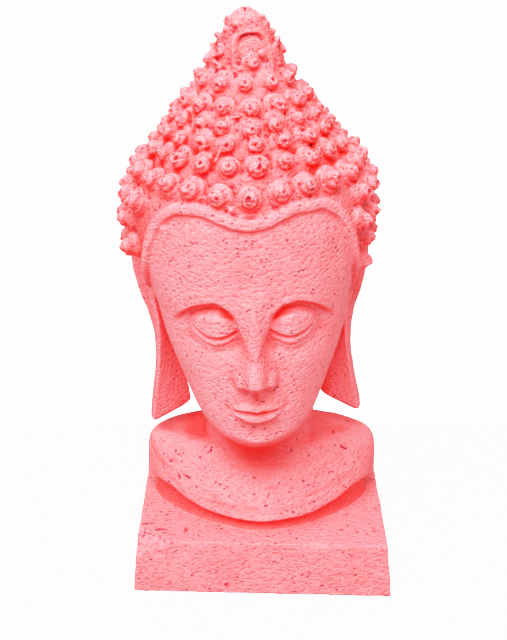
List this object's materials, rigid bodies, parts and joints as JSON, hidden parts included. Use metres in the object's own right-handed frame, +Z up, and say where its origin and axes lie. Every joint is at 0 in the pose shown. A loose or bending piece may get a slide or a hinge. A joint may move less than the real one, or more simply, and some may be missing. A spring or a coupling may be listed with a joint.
{
  "type": "buddha head sculpture",
  "caption": "Cast head and shoulders with snail-shell curls, a budded finial, half-closed eyes and long free ear lobes, on a low square block that stands on a shelf or table.",
  "frame": {"origin": "centre of the block's flat underside", "axes": "+Z up from the underside to the finial, the face looks towards -Y, +X is the figure's own left"},
  "size_m": [0.1434, 0.1416, 0.3016],
  "materials": {
    "painted_stone": "matte pink paint over rough, pitted cast stone"
  },
  "bodies": {
    "root": {"head_bust": "painted_stone"}
  },
  "joints": []
}
